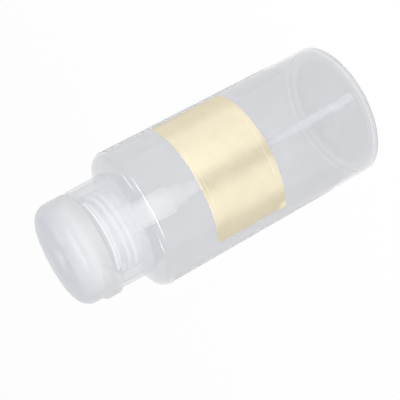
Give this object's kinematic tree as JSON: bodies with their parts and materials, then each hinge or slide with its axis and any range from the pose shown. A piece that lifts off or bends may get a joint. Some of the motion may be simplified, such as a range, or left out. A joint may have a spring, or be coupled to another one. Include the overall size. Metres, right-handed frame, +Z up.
{
  "type": "press-pump oil bottle",
  "caption": "Clear round bottle with a screw collar, flip lid and a push-down dish pump that lifts oil through a dip tube to the dish.",
  "frame": {"origin": "centre of the base, on the plane that the bottle stands on", "axes": "+Z up along the bottle's axis, -Y towards the front label, -X towards the lid's thumb lip, +X towards the lid's hinge"},
  "size_m": [0.06, 0.0601, 0.1398],
  "materials": {
    "clear_plastic": "clear, polished",
    "frosted_plastic": "translucent, satin",
    "white_plastic": "moulded, satin",
    "soft_white": "soft, matt",
    "tube_plastic": "translucent, drawn",
    "gold_foil": "champagne gold foil, satin",
    "polished_steel": "polished",
    "spring_steel": "drawn wire"
  },
  "bodies": {
    "bottle": {"bottle": "clear_plastic", "label": "gold_foil"},
    "pump": {"pump_housing": "white_plastic", "neck_gasket": "soft_white", "stem_bush": "white_plastic", "ball_stop": "white_plastic", "dip_tube": "tube_plastic", "return_spring": "spring_steel"},
    "inlet_check": {"inlet_ball": "polished_steel"},
    "press": {"press_dish": "white_plastic", "outlet_insert": "white_plastic", "pump_stem": "white_plastic", "piston": "soft_white"},
    "outlet_check": {"outlet_ball": "polished_steel"},
    "collar": {"screw_collar": "frosted_plastic", "hinge_strap": "frosted_plastic"},
    "lid": {"flip_lid": "frosted_plastic", "lid_seal": "soft_white"}
  },
  "joints": [
    {"name": "pump_lift", "type": "slide", "parent": "bottle", "child": "pump", "axis": [0, 0, 1], "range_m": [0, 0.00451]},
    {"name": "collar_turn", "type": "hinge", "parent": "pump", "child": "collar", "pos_m": [0, 0, 0.115], "axis": [0, 0, 1], "range_deg": [0, 540]},
    {"name": "lid_hinge", "type": "hinge", "parent": "collar", "child": "lid", "pos_m": [0.0213, 0, 0.1248], "axis": [0, 1, 0], "range_deg": [0, 110], "deforming": ["hinge_strap"]},
    {"name": "dish_press", "type": "slide", "parent": "pump", "child": "press", "axis": [0, 0, 1], "range_m": [-0.0055, 0], "stiffness_N_per_m": 900, "springref_m": 0.006, "deforming": ["return_spring"]},
    {"name": "inlet_ball_lift", "type": "slide", "parent": "pump", "child": "inlet_check", "axis": [0, 0, 1], "range_m": [0, 0.001]},
    {"name": "outlet_ball_lift", "type": "slide", "parent": "press", "child": "outlet_check", "axis": [0, 0, 1], "range_m": [0, 0.001]}
  ],
  "couplings": [
    {"joint": "pump_lift", "follows": "collar_turn", "m_per_rad": 0.00047746}
  ]
}
